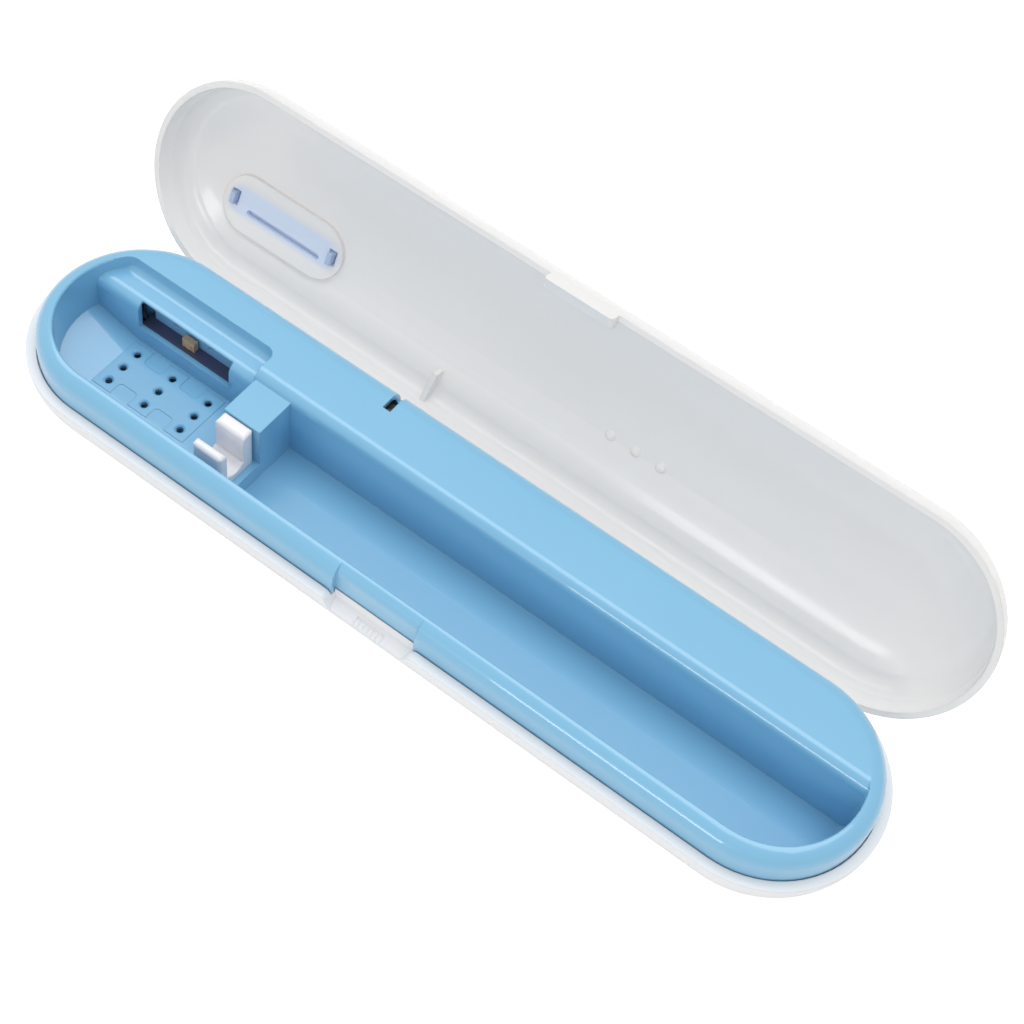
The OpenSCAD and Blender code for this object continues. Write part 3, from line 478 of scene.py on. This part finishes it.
plate = bmesh.new()
plate_corners = (
    (spring_high.y - plate_corner, spring_high.z - plate_corner),
    (spring_low.y + plate_corner, spring_high.z - plate_corner),
    (spring_low.y + plate_corner, plate_foot + plate_corner),
    (spring_high.y - plate_corner, plate_foot + plate_corner),
)
outline = []
for quarter, (middle_y, middle_z) in enumerate(plate_corners):
    for step in range(corner_steps + 1):
        angle = (quarter + step / corner_steps) * math.pi / 2
        edge_y = middle_y + plate_corner * math.cos(angle)
        edge_z = middle_z + plate_corner * math.sin(angle)
        outline.append(plate.verts.new((plate_x, edge_y, edge_z)))
sheet = plate.faces.new(outline)
pressed = bmesh.ops.extrude_face_region(plate, geom=[sheet])["geom"]
far_side = [part for part in pressed if isinstance(part, bmesh.types.BMVert)]
bmesh.ops.translate(plate, verts=far_side, vec=(plate_thickness, 0.0, 0.0))
bmesh.ops.recalc_face_normals(plate, faces=plate.faces)
plate_mesh = bpy.data.meshes.new("spring_plate")
plate.to_mesh(plate_mesh)
plate.free()
plate_mesh.materials.append(nickel)
spring_plate = bpy.data.objects.new("spring_plate", plate_mesh)
scene.collection.objects.link(spring_plate)
for piece in (spring, spring_plate):
    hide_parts("spring_contact")
    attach(piece, "base")

# Circuit board with its timer chip, capacitor and push switch. The board is
# green lacquered laminate, and the parts on it are dark mouldings and sleeves.
lacquer = Finish("board_lacquer")
grid = lacquer.node("TexBrick", Vector=lacquer.place, Scale=520.0, Mortar_Size=0.03)
track = lacquer.value(grid, 1)
shader = lacquer.node(
    "BsdfPrincipled",
    Base_Color=lacquer.blend(track, (0.02, 0.16, 0.07, 1), (0.05, 0.25, 0.12, 1)),
    Roughness=0.30 + lacquer.noise(0.004) * 0.1,
)
dress("main_board", lacquer.close(shader))
black_moulding = plastic("black_moulding", (0.02, 0.02, 0.022), (0.03, 0.03, 0.032), gloss=0.42)
dress("timer_chip", black_moulding)
dress("switch_body", black_moulding)
dress("capacitor", plastic("capacitor_sleeve", (0.02, 0.025, 0.10), (0.03, 0.03, 0.13), gloss=0.25))
dress("switch_plunger", plastic("plunger_grey", (0.05, 0.05, 0.055), (0.07, 0.07, 0.075), gloss=0.35))

# Tray: one glossy light blue moulding, the rounded cap over the shell with
# the trough, drain floor, block and lamp bay hung in it.
tray_blue = plastic(
    "tray_blue",
    (0.213, 0.508, 0.745),
    (0.204, 0.494, 0.73),
    gloss=0.30,
    edge=0.0004,
    Coat_Weight=1.0,
    Coat_Roughness=0.03,
)
moulded("tray", "base", tray_blue)

# Neck clip: a small white moulding pushed on to its seat beside the block,
# with two thick rounded prongs that let a little light through.
clip_white = plastic(
    "clip_white",
    (0.90, 0.88, 0.90),
    (0.88, 0.86, 0.88),
    gloss=0.24,
    edge=0.0005,
    Subsurface_Weight=0.6,
    Subsurface_Radius=(1.0, 0.9, 0.9),
    Subsurface_Scale=0.0015,
)
moulded("brush_clip", "base", clip_white)

# Germ lamp: a dark board along the foot of the bay, one bronze lamp package
# standing on it, and a pale blue plate behind.
dress("lamp_board", plastic("lamp_board_dark", (0.055, 0.055, 0.11), (0.085, 0.095, 0.16), gloss=0.30))
dress("lamp_reflector", plastic("reflector_blue", (0.26, 0.54, 0.80), (0.24, 0.52, 0.78), gloss=0.25))
package = Finish("lamp_package")
grain = package.noise(0.0005, 3.0)
shader = package.node(
    "BsdfPrincipled",
    Base_Color=package.blend(grain, (0.60, 0.36, 0.18, 1), (0.90, 0.64, 0.40, 1)),
    Metallic=0.2,
    Roughness=0.32 + grain * 0.1,
)
dress("lamp_chip", package.close(shader))

# Lid: one cloudy clear polypropylene moulding, glossy outside and in, with the
# window's boss, the pips, the switch rib and two hinge barrels. Its colour is a little
# lighter deep in the bowl than at the rim, a painted light, and bluish where the
# window sits. A faint painted glow (emission) lightens the whole lid, warm over
# the bowl and bluish under the window.
lid_hinge = next(joint for joint in frame["joints"] if joint["name"] == "lid_hinge")
lid_pin = Vector(lid_hinge["pos_m"])
lid_turn = Matrix.Rotation(-math.radians(lid_hinge["range_deg"][1]), 3, "X")
lid_across = lid_turn @ Vector((0.0, 1.0, 0.0))
lid_out = lid_turn @ Vector((0.0, 0.0, 1.0))
lengthwise = Vector((1.0, 0.0, 0.0))
bowl_floor = 0.0135
bowl_rim = 0.003
window_low, window_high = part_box("lid_window")
window_from_pin = 0.01665
window_middle = lid_pin - lid_across * window_from_pin
window_middle.x = (window_low.x + window_high.x) / 2
glass_straight = 0.0125
glass_inner = 0.0030
glass_outer = 0.0042
cloudy = Finish("lid_cloudy")


def along(finish, direction, origin):
    """How far a point lies along a direction from an origin, in metres."""
    reach = finish.node("VectorMath", {"operation": "DOT_PRODUCT"}, s0=finish.place, s1=direction)
    return finish.value(reach, 1) - origin.dot(direction)


def ramp(finish, amount, start, end, easing="LINEAR"):
    """From 0 at start to 1 at end."""
    slide = finish.node("MapRange", {"interpolation_type": easing}, s0=amount, s1=start, s2=end)
    return finish.value(slide)


past_straight = (abs(along(cloudy, lengthwise, window_middle)) - glass_straight).at_least(0.0)
beside = along(cloudy, lid_across, window_middle)
from_glass = (past_straight * past_straight + beside * beside) ** 0.5
under_glass = ramp(cloudy, from_glass, glass_outer, glass_inner, "SMOOTHSTEP")
towards_rim = ramp(cloudy, along(cloudy, lid_out, lid_pin), bowl_floor, bowl_rim)
# Painted light: the milky colour runs lighter deep in the bowl and a little darker at the rim.
milk_and_painted_light = cloudy.blend(towards_rim, (0.955, 0.94, 0.93, 1), (0.925, 0.92, 0.915, 1))
shader = cloudy.node(
    "BsdfPrincipled",
    Base_Color=cloudy.blend(under_glass, milk_and_painted_light, (0.82, 0.89, 0.99, 1)),
    Roughness=handled(cloudy, gloss=0.22),
    Normal=moulded_skin(cloudy, edge=0.0003),
    Transmission_Weight=0.20,
    IOR=1.35,
    Coat_Weight=0.32,
    Coat_Roughness=0.10,
    # Painted glow: a faint emission lightens the lid, warm over the bowl and bluish under the window.
    Emission_Color=cloudy.blend(under_glass, (1.0, 0.96, 0.90, 1), (0.7, 1.0, 1.9, 1)),
    Emission_Strength=0.03,
)
moulded("lid_shell", "lid", cloudy.close(shader))

# Window: a light blue clear strip with two hooks, pressed into the lid's boss.
# Its skin is glossier than the lid's.
window_blue = plastic(
    "window_blue",
    (0.66, 0.78, 0.99),
    (0.62, 0.75, 0.98),
    gloss=0.12,
    Transmission_Weight=0.3,
    IOR=1.4,
)
moulded("lid_window", "lid", window_blue)
